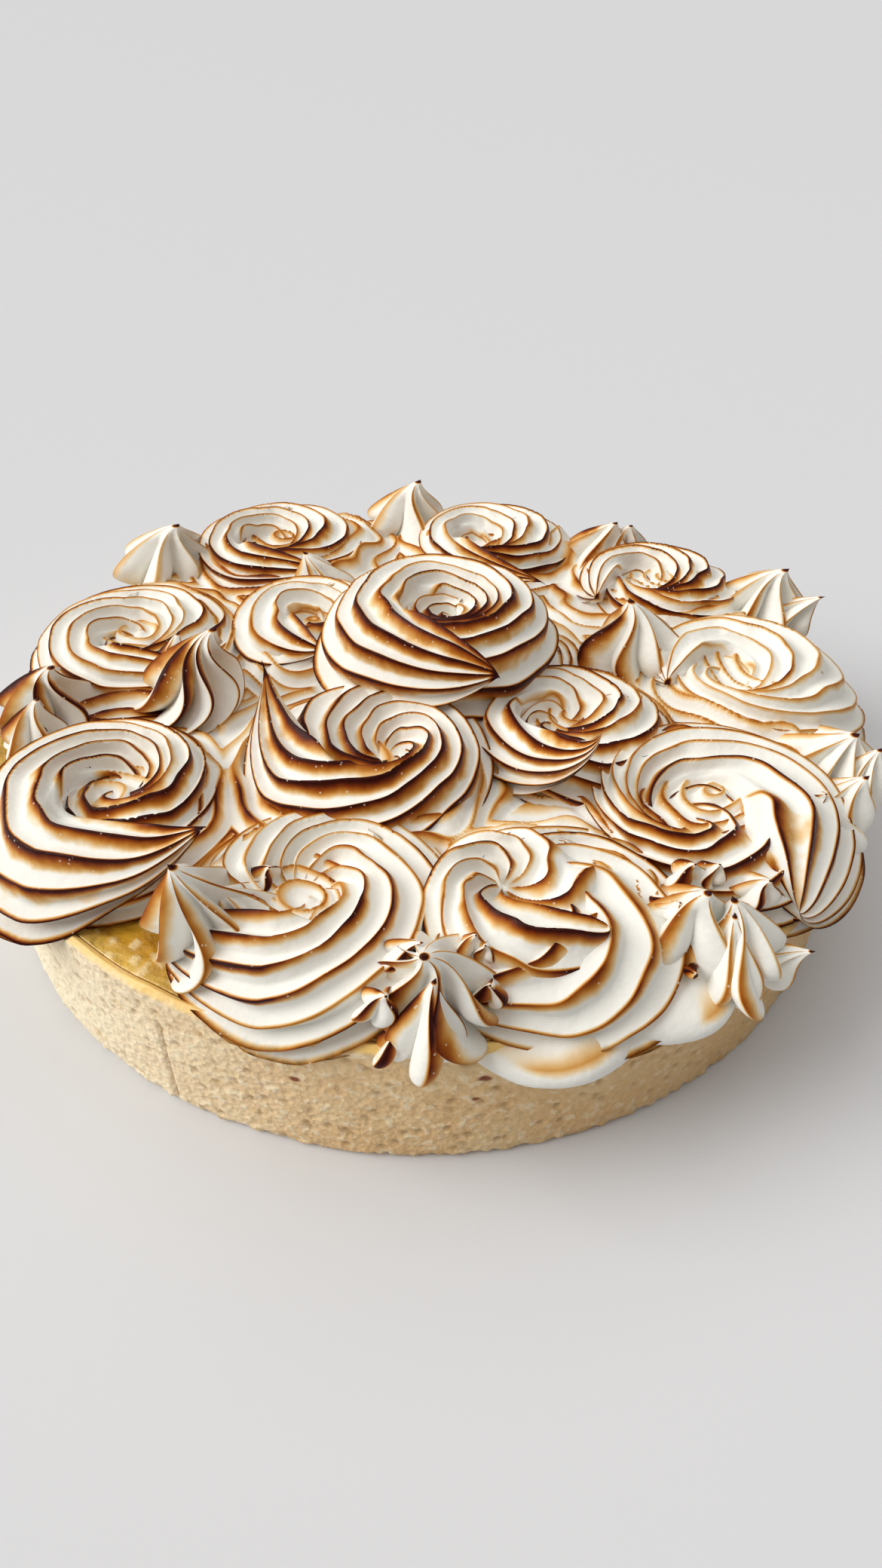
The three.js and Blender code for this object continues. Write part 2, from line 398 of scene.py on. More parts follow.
body = layered(
    tree,
    (0.82, 0.54, 0.26, 1),
    (eased(patches, 0.35, 0.7), (0.89, 0.66, 0.36, 1)),  # lighter patches
    (eased(crumbs, 0.5, 0.68), (0.96, 0.79, 0.52, 1)),  # pale crumbs
    ((1.0 - eased(right, -115.0, -5.0)) * 0.95, (1.0, 0.91, 0.69, 1)),  # painted light on the side facing the window
    (eased(streaks, 0.6, 0.75) * 0.5, (0.76, 0.50, 0.20, 1)),  # golden streaks
    (eased(right, -40.0, 120.0) * 0.6, (0.56, 0.33, 0.12, 1)),  # painted shade away from the window, and browner baking
    (held(note_on(tree, "sunk") * 0.9), (0.46, 0.28, 0.12, 1)),  # painted shade in the holes and the crack
    (glazed * 0.95, (0.86, 0.57, 0.17, 1)),  # the glaze on the rim
    (burnt, (0.25, 0.06, 0.015, 1)),
    (rim_bubbles, (0.08, 0.04, 0.02, 1)),
)
tree.links.new(body, surface.inputs["Base Color"])
plug(tree, 0.72 - 0.3 * glazed, surface.inputs["Roughness"])
grains = crumbs * 0.8 + cells(tree, x, y, z, 640.0) * 0.5
relief(tree, grains * (1.0 - 0.8 * glazed), 0.0007, surface)
crust.data.materials.append(pastry)
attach(crust, "root")
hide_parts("crust")

# ---------------------------------------------------------------------------------------------------
# The filling: lemon curd poured into the baked case and set. It creeps a little up the pastry, shines,
# and carries pale flakes where sugar and bits of meringue have melted on it.

curd = {
    "edge": case["radius"] - 2.6, "top": 41.2, "foot": case["floor"] + 0.3,
    "creep": 117.0, "sides": 720,
}
curd_outline = spread_out(
    (10, 68, 5, 2, 3),
    (0.0, curd["top"]), (90.0, curd["top"]), (curd["edge"], curd["top"]), (inside - 0.15, 38.7),
    (inside - 0.5, curd["foot"]), (0.0, curd["foot"]),
)

# The noise that bends the flakes here, and the folds of meringue later on, starts from a chance place
# unless it has a seed.
noise.seed_set(1795523926)


def poured(angle, radius, height):
    """Where a point of the curd is: a soft uneven top that turns up where it meets the pastry."""
    x, y = radius * math.cos(angle), radius * math.sin(angle)
    lift, flake = 0.0, 0.0
    if height > case["rim"]:
        lift = rim_lift(x, y, height) * clipped((radius - 110.0) / 8.0)
    if height >= curd["top"]:
        spot = Vector((x, y, 0.0))
        distances, middles = noise.voronoi(spot / 3.4 + noise.noise_vector(spot / 2.5) * 0.3)
        if noise.cell(middles[0] * 5.1) > 0.0:
            flake = clipped((0.45 - distances[0]) * 9.0)
        edge = max(0.0, (radius - curd["creep"]) / (curd["edge"] - curd["creep"]))
        lift += (0.4 * noise.noise(spot / 6.0) + 0.3 * flake) * (1.0 - edge ** 3) + 0.5 * edge * edge
    return (x, y, height + lift), flake


curd_piece = turned_mesh("set_lemon_curd", curd_outline, curd["sides"], poured)
lemon, tree, surface, (x, y, z) = finish_of("lemon curd")
depths = cloudy(tree, x, y, z, scale=130.0, detail=3.0)
from_middle = (x * x + y * y) ** 0.5 / mm
tone = layered(
    tree,
    (0.34, 0.15, 0.010, 1),
    (eased(depths, 0.35, 0.65), (0.62, 0.33, 0.028, 1)),  # lighter where it is less deep
    (eased(from_middle, 116.0, 122.0) * 0.5, (0.84, 0.60, 0.16, 1)),  # thin at the edge
    (note_on(tree, "sunk") * (0.35 + 0.6 * depths), (0.88, 0.70, 0.38, 1)),  # flakes
)
tree.links.new(tone, surface.inputs["Base Color"])
surface.inputs["Roughness"].default_value = 0.3
surface.inputs["Coat Weight"].default_value = 0.25
surface.inputs["Coat Roughness"].default_value = 0.15
relief(tree, cloudy(tree, x, y, z, scale=420.0, detail=2.0), 0.0009, surface)
curd_piece.data.materials.append(lemon)
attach(curd_piece, "root")
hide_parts("lemon_curd")

# ---------------------------------------------------------------------------------------------------
# The meringue underneath: a thick layer, piped round and round and left showing in the gaps between the
# rosettes, with soft folds that slump over the edge of the case at the front right.


def toasted_meringue():
    """White whipped meringue. The crest notes say where a spot lies between two ridges of the piping,
    toast says how far the torch has browned it, char blackens the drawn-out points and blurred takes
    the sharpness off the near side of a ridge."""
    paint, tree, surface, (x, y, z) = finish_of("torched meringue")
    toast, char, blurred = (note_on(tree, label) for label in ("toast", "char", "blurred"))
    turn = work(tree, "ARCTAN2", note_on(tree, "crest_sine"), note_on(tree, "crest_cosine"))
    share = work(tree, "FRACT", turn / (2 * math.pi) + 1.0)
    patchy = cloudy(tree, x, y, z, scale=80.0, detail=2.0)
    fine = cloudy(tree, x, y, z, scale=420.0, detail=2.0)
    streaks = cloudy(tree, x, y, z, scale=190.0, detail=2.0)
    heat = toast * (0.25 + 1.4 * patchy)
    width = (0.08 + 0.31 * heat) * (1.0 + 0.5 * char) * (0.6 + 0.8 * streaks)
    outer = share / width
    inner = (1.0 - share) / (0.06 + blurred)
    faded = 1.0 - lesser(outer, inner)
    peak = lesser(0.34 + 0.6 * heat + 0.5 * char, 1.0) * eased(heat, 0.02, 0.14)
    browned = held(faded + (fine - 0.5) * 0.1) ** 1.1 * peak * (1.0 + 0.14 * eased(heat, 0.7, 1.3))
    browned = greater(browned, eased(char, 0.86, 0.99))
    ramp = tree.nodes.new("ShaderNodeValToRGB")
    white, *between_tones, burnt_black = (
        (0.0, (0.87, 0.86, 0.81, 1)),
        (0.12, (0.85, 0.73, 0.54, 1)),
        (0.26, (0.78, 0.55, 0.29, 1)),
        (0.38, (0.69, 0.39, 0.13, 1)),
        (0.5, (0.56, 0.24, 0.045, 1)),
        (0.62, (0.42, 0.13, 0.012, 1)),
        (0.74, (0.27, 0.058, 0.004, 1)),
        (0.86, (0.13, 0.018, 0.002, 1)),
        (0.97, (0.035, 0.003, 0.001, 1)),
    )
    colours = ramp.color_ramp.elements
    colours[0].position, colours[0].color = white
    colours[1].position, colours[1].color = burnt_black
    for position, colour in between_tones:
        colours.new(position).color = colour
    plug(tree, browned, ramp.inputs[0])
    # Pinholes in the browned crust: pale meringue showing through, each with a painted highlight.
    pinholes_and_glints = dots(tree, x, y, z, 620.0, size=(0.1, 0.22), chance=(0.6, 0.65))
    pinholes_and_glints = pinholes_and_glints * eased(browned, 0.2, 0.4) * 0.6
    tone = layered(tree, ramp.outputs["Color"], (pinholes_and_glints, (0.9, 0.8, 0.65, 1)))
    tree.links.new(tone, surface.inputs["Base Color"])
    plug(tree, 0.52 - 0.1 * browned, surface.inputs["Roughness"])
    surface.inputs["Specular IOR Level"].default_value = 0.12
    relief(tree, fine, 0.00025, surface)
    return paint


meringue_paint = toasted_meringue()

bed = {
    "radius": 112.5, "top": 48.0, "low": 41.9, "rings": 120, "sides": 560, "flat": 0.93, "edge": 0.07,
    "spacing": 5.2, "groove": 2.2, "round": 6.5,
}
bare = {"angle": math.radians(232), "width": 0.3, "depth": 8.0}
mounds = []
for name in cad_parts:
    if name.startswith("rosette_"):
        low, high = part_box(name)
        half_width = (high.x - low.x) / 2
        mounds.append(((low.x + high.x) / 2 / mm, (high.y - half_width) / mm, half_width / mm))


def piped_layer(radius, angle):
    """Height of the layer at a place, where it lies between two ridges there, and its heat."""
    x, y = radius * math.cos(angle), radius * math.sin(angle)
    off = min(math.hypot(x - mx, y - my) - size * 0.86 for mx, my, size in mounds)
    off += 3.0 * noise.noise(Vector((x / 12.0, y / 12.0, 2.0)))
    ridge = off / bed["spacing"] + 1.6 * noise.noise(Vector((x / 24.0, y / 24.0, 8.0)))
    groove = bed["groove"] * (0.5 + 0.5 * math.cos(2 * math.pi * ridge)) ** 1.5
    mound = 5.5 * math.exp(-max(off, 0.0) / 5.0) + 1.2 * noise.noise(Vector((x / 15.0, y / 15.0, 0.0)))
    heat = 0.6 + 0.8 * noise.noise(Vector((x / 30.0, y / 30.0, 4.0)))
    return bed["top"] + mound + groove, ridge, heat


def rounded_fold(points, faces, notes, middle, half, turn):
    """Adds one rounded fold of soft meringue to lists of points, faces and notes."""
    rings, sides = 40, 64
    start = len(points)
    c, d = math.cos(turn), math.sin(turn)
    for ring in range(rings + 1):
        polar = math.pi * ring / rings
        for step in range(sides if 0 < ring < rings else 1):
            angle = 2 * math.pi * step / sides
            px = half[0] * math.sin(polar) * math.cos(angle)
            py = half[1] * math.sin(polar) * math.sin(angle)
            pz = half[2] * math.cos(polar)
            spot = Vector((middle[0] + c * px - d * py, middle[1] + d * px + c * py, middle[2] + pz))
            spot += noise.noise_vector(spot / 16.0) * 2.4
            points.append(spot)
            notes.append((2.1 * ring / rings + 0.28, 0.1 + 0.4 * noise.noise(spot / 14.0)))
    first = start + 1
    last = first + (rings - 1) * sides
    faces += band(start, first, sides, "above")
    for ring in range(rings - 2):
        faces += band(first + ring * sides, first + (ring + 1) * sides, sides)
    faces += band(last - sides, last, sides, "below")


bed_points, bed_faces, bed_notes = [], [], []
sides = bed["sides"]
for ring in range(bed["rings"] + 1):
    share = ring / bed["rings"]
    for step in range(sides):
        angle = 2 * math.pi * step / sides
        bared = math.exp(-(((angle - bare["angle"]) / bare["width"]) ** 2))
        rim = bed["radius"] + 1.6 * math.sin(9 * angle) - bare["depth"] * bared
        flat = 0.004 + 0.996 * min(share / bed["flat"], 1.0)
        bend = max(0.0, share - bed["flat"]) / bed["edge"] * math.pi / 2
        radius = (rim - bed["round"]) * flat + bed["round"] * math.sin(bend)
        height, ridge, heat = piped_layer(radius, angle)
        height = bed["low"] + (height - bed["low"]) * math.cos(bend)
        bed_points.append(Vector((radius * math.cos(angle), radius * math.sin(angle), height)))
        bed_notes.append((ridge, heat * math.cos(bend) ** 2))
edge_start = bed["rings"] * sides
for point in bed_points[edge_start:]:
    bed_points.append(Vector((point.x * 0.995, point.y * 0.995, bed["low"] - 0.3)))
    bed_notes.append((0.5, 0.0))
under = edge_start + sides
for ring in range(bed["rings"] + 1):
    bed_faces += band(ring * sides, (ring + 1) * sides, sides)
bed_faces.append(tuple(reversed(range(under, under + sides))))
bed_faces.append(tuple(range(sides)))
folds = [
    dict(middle=(29, -113, 37.5), half=(21, 16, 7), turn=0.1),
    dict(middle=(53, -104, 39.5), half=(19, 16, 7.5), turn=0.7),
    dict(middle=(96, -64, 45), half=(12, 10, 7), turn=1.0),
]
for fold in folds:
    rounded_fold(bed_points, bed_faces, bed_notes, **fold)
bed_mesh = bpy.data.meshes.new("spread_meringue")
bed_mesh.from_pydata([point * mm for point in bed_points], [], bed_faces)
bed_mesh.shade_smooth()
noted = {
    "crest_sine": [math.sin(2 * math.pi * ridge) for ridge, _ in bed_notes],
    "crest_cosine": [math.cos(2 * math.pi * ridge) for ridge, _ in bed_notes],
    "toast": [max(0.0, heat) for _, heat in bed_notes],
    "char": [0.0] * len(bed_notes),
    "blurred": [0.24] * len(bed_notes),
}
for label, values in noted.items():
    bed_mesh.attributes.new(label, "FLOAT", "POINT").data.foreach_set("value", values)
bed_mesh.materials.append(meringue_paint)
spread = bpy.data.objects.new("spread_meringue", bed_mesh)
bpy.context.collection.objects.link(spread)
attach(spread, "root")
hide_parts("meringue_bed")

# ---------------------------------------------------------------------------------------------------
# The rosettes: stiff meringue piped through an open star nozzle, a turn and a half of ridged rope round
# a sunk whirl, drawn out to a point where the nozzle lifts off. Each rope is one closed sheet, swept by
# a tree.


def new_tree(name, numbers):
    """An empty Geometry Nodes tree with a named number input for each pair in numbers."""
    tree = bpy.data.node_groups.new(name, "GeometryNodeTree")
    tree.is_modifier = True
    tree.interface.new_socket("Geometry", in_out="INPUT", socket_type="NodeSocketGeometry")
    tree.interface.new_socket("Geometry", in_out="OUTPUT", socket_type="NodeSocketGeometry")
    for label, value in numbers.items():
        socket = tree.interface.new_socket(label, in_out="INPUT", socket_type="NodeSocketFloat")
        socket.default_value = value
    way_in = tree.nodes.new("NodeGroupInput")
    wires = {label: Wire(tree, way_in.outputs[label]) for label in numbers}
    return tree, wires


def sheet_of_points(tree, along, across):
    """A grid of points, with how far along and across each one is, from 0 to 1."""
    grid = tree.nodes.new("GeometryNodeMeshGrid")
    grid.inputs["Size X"].default_value = 1.0
    grid.inputs["Size Y"].default_value = 1.0
    grid.inputs["Vertices X"].default_value = along
    grid.inputs["Vertices Y"].default_value = across
    place = tree.nodes.new("GeometryNodeInputPosition")
    x, y, _ = parts_of(tree, place.outputs[0])
    return grid.outputs["Mesh"], x + 0.5, y + 0.5


def close_up(tree, mesh, place, notes, material):
    """Moves the sheet to its place, keeps the notes on its points, closes it and hands it out."""
    same_point = 4e-7
    for label, wire in notes.items():
        store = tree.nodes.new("GeometryNodeStoreNamedAttribute")
        store.data_type = "FLOAT"
        store.domain = "POINT"
        store.inputs["Name"].default_value = label
        tree.links.new(mesh, store.inputs["Geometry"])
        plug(tree, wire, store.inputs["Value"])
        mesh = store.outputs["Geometry"]
    move = tree.nodes.new("GeometryNodeSetPosition")
    tree.links.new(mesh, move.inputs["Geometry"])
    tree.links.new(place, move.inputs["Position"])
    merge = tree.nodes.new("GeometryNodeMergeByDistance")
    merge.inputs["Distance"].default_value = same_point
    tree.links.new(move.outputs["Geometry"], merge.inputs["Geometry"])
    split = tree.nodes.new("GeometryNodeTriangulate")
    split.quad_method = "FIXED"
    tree.links.new(merge.outputs["Geometry"], split.inputs["Mesh"])
    smooth = tree.nodes.new("GeometryNodeSetShadeSmooth")
    tree.links.new(split.outputs["Mesh"], smooth.inputs["Geometry"])
    real = tree.nodes.new("GeometryNodeRealizeInstances")
    tree.links.new(smooth.outputs["Geometry"], real.inputs["Geometry"])
    coat = tree.nodes.new("GeometryNodeSetMaterial")
    tree.links.new(real.outputs["Geometry"], coat.inputs["Geometry"])
    coat.inputs["Material"].default_value = material
    way_out = tree.nodes.new("NodeGroupOutput")
    tree.links.new(coat.outputs["Geometry"], way_out.inputs["Geometry"])


def grown(tree, name, numbers):
    """The mesh that a tree makes with these numbers, as a plain object. An input that isn't given keeps
    the tree's own value."""
    seed_mesh = bpy.data.meshes.new(name)
    piece = bpy.data.objects.new(name, seed_mesh)
    bpy.context.collection.objects.link(piece)
    recipe = piece.modifiers.new("recipe", "NODES")
    recipe.node_group = tree
    keys = {s.name: s.identifier for s in tree.interface.items_tree if s.in_out == "INPUT"}
    for label, value in numbers.items():
        recipe[keys[label]] = float(value)
    bpy.context.view_layer.update()
    graph = bpy.context.evaluated_depsgraph_get()
    mesh = bpy.data.meshes.new_from_object(piece.evaluated_get(graph), depsgraph=graph)
    piece.modifiers.remove(recipe)
    piece.data = mesh
    bpy.data.meshes.remove(seed_mesh)
    mesh.name = name
    shell = bmesh.new()
    shell.from_mesh(mesh)
    if shell.calc_volume(signed=True) < 0:
        mesh.flip_normals()
    shell.free()
    return piece


def rosette_tree(rows_along, rows):
    """A rope that winds out of its own whirl. `along` runs from its buried start to the drawn-out tip
    and `across` from the whirl over the rope to its foot and back underneath."""
    tree, g = new_tree(
        "rosette",
        {
            "Whirl X": 0, "Whirl Y": 0, "Centre X": 0, "Centre Y": 0, "Radius": 34, "Base": 44,
            "Height": 18, "Turn": 1, "Tail Angle": 0, "Tail Length": 1.6, "Tip X": 0, "Tip Y": 0,
            "Tip Z": 60, "Ridges": 8, "Arms": 4, "Turns": 1.6, "Inner": 0.45, "Groove": 2.8,
            "Dip": 0.6, "Crest": 0.46, "Taper": 1.8, "Fan": 1.4, "Toast": 0.6, "Seed": 0,
        },
    )
    mesh, along, across = sheet_of_points(tree, rows_along, rows)
    top_share, under_bend = 0.9, math.radians(108)
    rope_layer, growth, tuck_depth, step_down = 3.0, 0.07, 4.5, 5.5

    reach = held(across / top_share)
    below = held((across - top_share) / (1 - top_share))
    to_middle = lesser(below * 2.0, 1.0)
    up_middle = greater(below * 2.0 - 1.0, 0.0)

    sweep = g["Turns"] * (2 * math.pi)
    walked = along * sweep
    angle = g["Tail Angle"] + g["Turn"] * (walked - sweep)

    # The last stretch lies on the rope's own start, so there its inner edge stands away from the whirl.
    doubled = (g["Turns"] - 1.0) * (2 * math.pi)
    inner = g["Inner"] * eased(walked, sweep - doubled, sweep - doubled * 0.35)
    place = inner + (1.0 - inner) * reach

    # The ridges fan out of the whirl and then run round the rope. They wander, and no two are alike.
    seed = g["Seed"]
    drift = cloudy(tree, place * 2.2, cos(angle) + seed, sin(angle), detail=1.0)
    fan = g["Fan"]
    wander = (drift - 0.5) * (0.4 + 1.0 * eased(place, 0.0, 0.5))
    ridge = g["Ridges"] * place ** fan - g["Arms"] * walked / (2 * math.pi) + wander
    ridge = ridge + seed * 17.0 + 200.0

    # The row of points nearest to each crest moves onto it, which keeps the crests clean.
    off = work(tree, "FRACT", ridge + 0.5) - 0.5
    slope = g["Ridges"] * fan * greater(place, 0.02) ** (fan - 1.0)
    row = (1.0 - inner) / (top_share * (rows - 1))
    near = work(tree, "LESS_THAN", work(tree, "ABSOLUTE", off), 0.5 * slope * row)
    near = near * work(tree, "GREATER_THAN", reach, 0.003)
    ridge = ridge - near * off
    place_across = place - near * off / slope
    share = work(tree, "FRACT", ridge + 0.0001)
    on_crest = work(tree, "ABSOLUTE", cos(math.pi * share))
    own = 0.5 + (dice(tree, work(tree, "FLOOR", ridge + 0.5)) - 0.5) * on_crest
    valley = sin(math.pi * share ** 1.4) ** 0.85
    fade = eased(place, 0.0, 0.09) * eased(reach, 0.0, 0.1) * (1.0 - eased(below, 0.0, 0.12))
    groove = g["Groove"] * fade * (0.7 + 0.6 * own)

    # How the rope bulges: out from the whirl up to its crest, then round and under.
    crest = g["Crest"]
    inside = held(place_across / crest)
    bend = held((place_across - crest) / (1.0 - crest)) * under_bend
    lift = (0.28 - valley) * groove * (1.0 + 0.9 * eased(bend, 1.0, 1.7))
    outward = lesser(place_across, crest) + (1.0 - crest) * sin(bend)
    hollow = (1.0 - inside) ** 1.7
    opened = eased(inner, 0.0, 0.1)
    tuck = tuck_depth * (1.0 - eased(reach, 0.0, 0.12)) * opened
    profile = 1.0 - g["Dip"] * hollow + (cos(bend) - 1.0) - tuck / g["Height"]
    edge_hollow = (1.0 - held(inner / crest)) ** 1.7
    edge_profile = 1.0 - g["Dip"] * edge_hollow - tuck_depth * opened / g["Height"]
    lean_out = sin(bend) - 0.4 * hollow
    lean_up = cos(bend)

    shrink = 1.0 - growth * g["Turns"] * (1.0 - along)
    uneven = 1.0 + 0.07 * (cloudy(tree, cos(angle) * 1.4 + seed, sin(angle) * 1.4, 3.0) - 0.5)
    covered = 1.0 - eased(walked, doubled - 1.3 * g["Tail Length"], doubled - 0.2 * g["Tail Length"])
    rope_radius = g["Radius"] * shrink * uneven
    radius = rope_radius * (1.0 - 0.12 * covered * eased(place_across, 0.4, 0.8))
    spread = inner + (outward - inner) * (1.0 - to_middle)
    centring = greater(spread, 0.0) ** 1.2

    height = profile * (1.0 - up_middle) + edge_profile * up_middle
    run = radius * spread + lean_out * lift
    px = between(g["Whirl X"], g["Centre X"], centring) + run * cos(angle)
    py = between(g["Whirl Y"], g["Centre Y"], centring) + run * sin(angle)
    layer = rope_layer * g["Turns"] * (along - 1.0) * (0.35 + 0.65 * eased(spread, 0.0, 0.3))
    pz = g["Base"] + g["Height"] * height + lean_up * lift + layer
    pz = pz - step_down * covered * eased(spread, 0.28, 0.48)
    foot = g["Base"] - 0.2 - 2.8 * held(place_across - 0.5) - 1.2 * eased(below, 0.0, 0.12)
    pz = greater(pz, foot - 30.0 * (1.0 - eased(spread, 0.02, 0.3)))

    # The tail: the whole section shrinks onto a line that runs from the rope's back to the tip.
    spine = 0.62 + 0.2 * inner
    sx = between(g["Whirl X"], g["Centre X"], spine) + rope_radius * spine * cos(angle)
    sy = between(g["Whirl Y"], g["Centre Y"], spine) + rope_radius * spine * sin(angle)
    sz = g["Base"] + g["Height"] * 0.86
    tail = held((walked - sweep + g["Tail Length"]) / g["Tail Length"])
    drawn = tail ** 1.25
    inside_ends = work(tree, "GREATER_THAN", along, 0.0001) * work(tree, "LESS_THAN", along, 0.9999)
    thinned = greater((1.0 - tail ** 1.6) ** g["Taper"], 0.014)
    left = thinned * greater(eased(along, 0.0, 0.08), 0.05) * inside_ends
    lx = between(sx, g["Tip X"], drawn)
    ly = between(sy, g["Tip Y"], drawn)
    lz = between(sz, g["Tip Z"], tail ** 1.9)
    px = lx + (px - sx) * left
    py = ly + (py - sy) * left
    pz = lz + (pz - sz) * left

    # Past the rim the soft rope sinks over the case.
    held_radius, sink_width, sink_depth = 114.0, 13.0, 6.0
    out = (px * px + py * py) ** 0.5
    past = greater(out - held_radius, 0.0) / sink_width
    pz = pz - sink_depth * (1.0 - work(tree, "EXPONENT", -1.0 * past * past))

    # The torch browned the near side and the tail most, and hardly reached the underside or the whirl.
    glow = cloudy(tree, px * 0.02, py * 0.02, pz * 0.02 + seed, detail=1.0)
    toast = g["Toast"] * (0.35 + 1.3 * glow) * (0.6 + 0.8 * own)
    toast = toast * eased(place_across, 0.01, 0.12) * eased(reach, 0.0, 0.16)
    toast = toast * (1.0 + 0.9 * tail) * (1.0 - 0.5 * eased(bend, 1.1, 1.8))
    toast = toast * (0.75 + 0.5 * eased(-1.0 * sin(angle), -0.8, 0.8))
    char = eased(tail, 0.2, 0.9) * eased(g["Taper"], 0.7, 1.5)
    notes = {
        "crest_sine": sin(ridge * (2 * math.pi)), "crest_cosine": cos(ridge * (2 * math.pi)),
        "toast": toast, "char": char,
    }
    close_up(tree, mesh, triple(tree, px * mm, py * mm, pz * mm), notes, meringue_paint)
    return tree


# One entry each, in millimetres from the middle of the pie. turn is 1 where the rope winds outwards
# counter-clockwise seen from above, and tip is where its tail ends. ridges run round the rope and arms
# come out of its whirl, fan says how fast they spread, dip how deep the whirl is, and taper how soon
# the tail thins. Past one turn the rope lies on its own start, and inner is the opening that it leaves
# round the whirl. second is a smaller whirl piped on top.
rosettes = {
    "rosette_crown": dict(
        whirl=(8, -2), centre=(5, 3), radius=37, base=56, height=25, turn=1, tip=(20, -31, 71),
        ridges=10, arms=2, toast=1.4, turns=1.75, tail=1.3, inner=0.36, taper=1.6, dip=0.36, fan=1.0),
    "rosette_front_middle": dict(
        whirl=(-10, -43), centre=(-14, -42), radius=36, base=45, height=20, turn=-1, tip=(-42, -29, 75),
        ridges=9, arms=7, toast=1.6, turns=1.7, tail=1.1, inner=0.4, taper=2.0),
    "rosette_left_front": dict(
        whirl=(-74, -54), centre=(-81, -60), radius=35, base=44, height=19, turn=1, tip=(-48, -83, 66),
        ridges=9, arms=5, toast=1.35, tail=1.3, dip=0.68),
    "rosette_front_right": dict(
        whirl=(18, -91), centre=(33.5, -94), radius=31, base=44, height=15.6, turn=-1,
        tip=(6, -116, 47), ridges=7, arms=9, toast=1.05, tail=0.7, inner=0.35, dip=0.95, taper=0.8,
        fan=2.1,
        second=dict(
            centre=(22, -94), radius=24, base=48.5, height=14, turn=1, tip=(39, -106, 60), turns=1.2,
            tail=0.9, ridges=4, arms=8, dip=0.5, crest=0.6)),
    "rosette_right_front": dict(
        whirl=(59, -64), centre=(76, -57), radius=37, base=44, height=17, turn=-1, tip=(88, -89, 49),
        ridges=9, arms=7, toast=1.15, tail=0.9, inner=0.4, dip=0.68, taper=0.8, fan=1.9),
    "rosette_front_left": dict(
        whirl=(-27, -89), centre=(-22, -91), radius=34, base=44, height=17, turn=-1,
        tip=(-54, -101, 49), ridges=9, arms=9, toast=0.7, tail=0.9, inner=0.35, dip=0.68, taper=0.55,
        fan=1.8),
    "rosette_right": dict(
        whirl=(90, -8), centre=(101, 3), radius=35, base=43, height=18, turn=1, tip=(70, -8, 54),
        ridges=8, arms=5, toast=0.6, tail=1.0, inner=0.35),
    "rosette_inner_right": dict(
        whirl=(38, -28), centre=(41, -30), radius=32, base=45, height=18, turn=1, tip=(42, -61, 77),
        ridges=8, arms=7, toast=1.2, turns=1.7, tail=1.5, inner=0.4, taper=1.3, fan=1.8),
    "rosette_left_back": dict(
        whirl=(-87, 13), centre=(-87, 18), radius=35, base=44, height=17, turn=1, tip=(-60, -6, 54),
        ridges=9, arms=6, toast=0.95, tail=1.0, inner=0.35, dip=0.68),
    "rosette_inner_left": dict(
        whirl=(-32, 25), centre=(-36, 27), radius=28, base=45, height=17, turn=1, tip=(-30, 4, 56),
        ridges=7, arms=4, toast=0.75, tail=1.0, inner=0.3),
    "rosette_back_right": dict(
        whirl=(75, 50), centre=(81, 54), radius=30, base=44, height=17, turn=1, tip=(55, 38, 56),
        ridges=8, arms=7, toast=1.1, tail=1.0, inner=0.35),
    "rosette_back_middle": dict(
        whirl=(21, 76), centre=(26, 87), radius=31, base=44, height=18, turn=1, tip=(39, 38, 61),
        ridges=8, arms=5, toast=1.15, turns=1.7, tail=1.1, inner=0.4, taper=2.0),
    "rosette_back_left": dict(
        whirl=(-54, 78), centre=(-50, 82), radius=35, base=44, height=17, turn=1, tip=(-34, 55, 56),
        ridges=9, arms=4, toast=0.95, tail=1.0, inner=0.4, dip=0.68),
}


def piped_rosette(tree, name, r, seed):
    """One rope of a rosette. What its entry leaves out keeps the tree's own value."""
    numbers = {
        "Whirl X": r["whirl"][0], "Whirl Y": r["whirl"][1], "Centre X": r["centre"][0],
        "Centre Y": r["centre"][1], "Tip X": r["tip"][0], "Tip Y": r["tip"][1], "Tip Z": r["tip"][2],
        "Tail Angle": math.atan2(r["tip"][1] - r["centre"][1], r["tip"][0] - r["centre"][0]),
        "Tail Length": r["tail"], "Seed": seed,
    }
    for label in (
        "radius", "base", "height", "turn", "turns", "ridges", "arms", "fan", "inner", "dip", "crest",
        "taper", "toast",
    ):
        if label in r:
            numbers[label.capitalize()] = r[label]
    return grown(tree, "piped_" + name, numbers)


def joined(pieces):
    """Pieces of meringue that ran together, as one object."""
    first = pieces[0]
    if len(pieces) > 1:
        chosen = {"active_object": first, "object": first, "selected_editable_objects": pieces}
        with bpy.context.temp_override(**chosen):
            bpy.ops.object.join()
    return first


rope = rosette_tree(300, 130)
short_rope = rosette_tree(200, 80)
for seed, (name, r) in enumerate(rosettes.items(), start=1):
    pieces = [piped_rosette(rope, name, r, seed)]
    if "second" in r:
        pieces.append(piped_rosette(short_rope, name, {**r, **r["second"]}, seed + 30))
    piece = joined(pieces)
    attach(piece, "root")
    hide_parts(name)

# ---------------------------------------------------------------------------------------------------
# The kisses: single squeezes of the same star nozzle, lifted off to a point, that fill the gaps. Some
# were squeezed twice and stand in pairs, and small curls were left where the nozzle broke away.


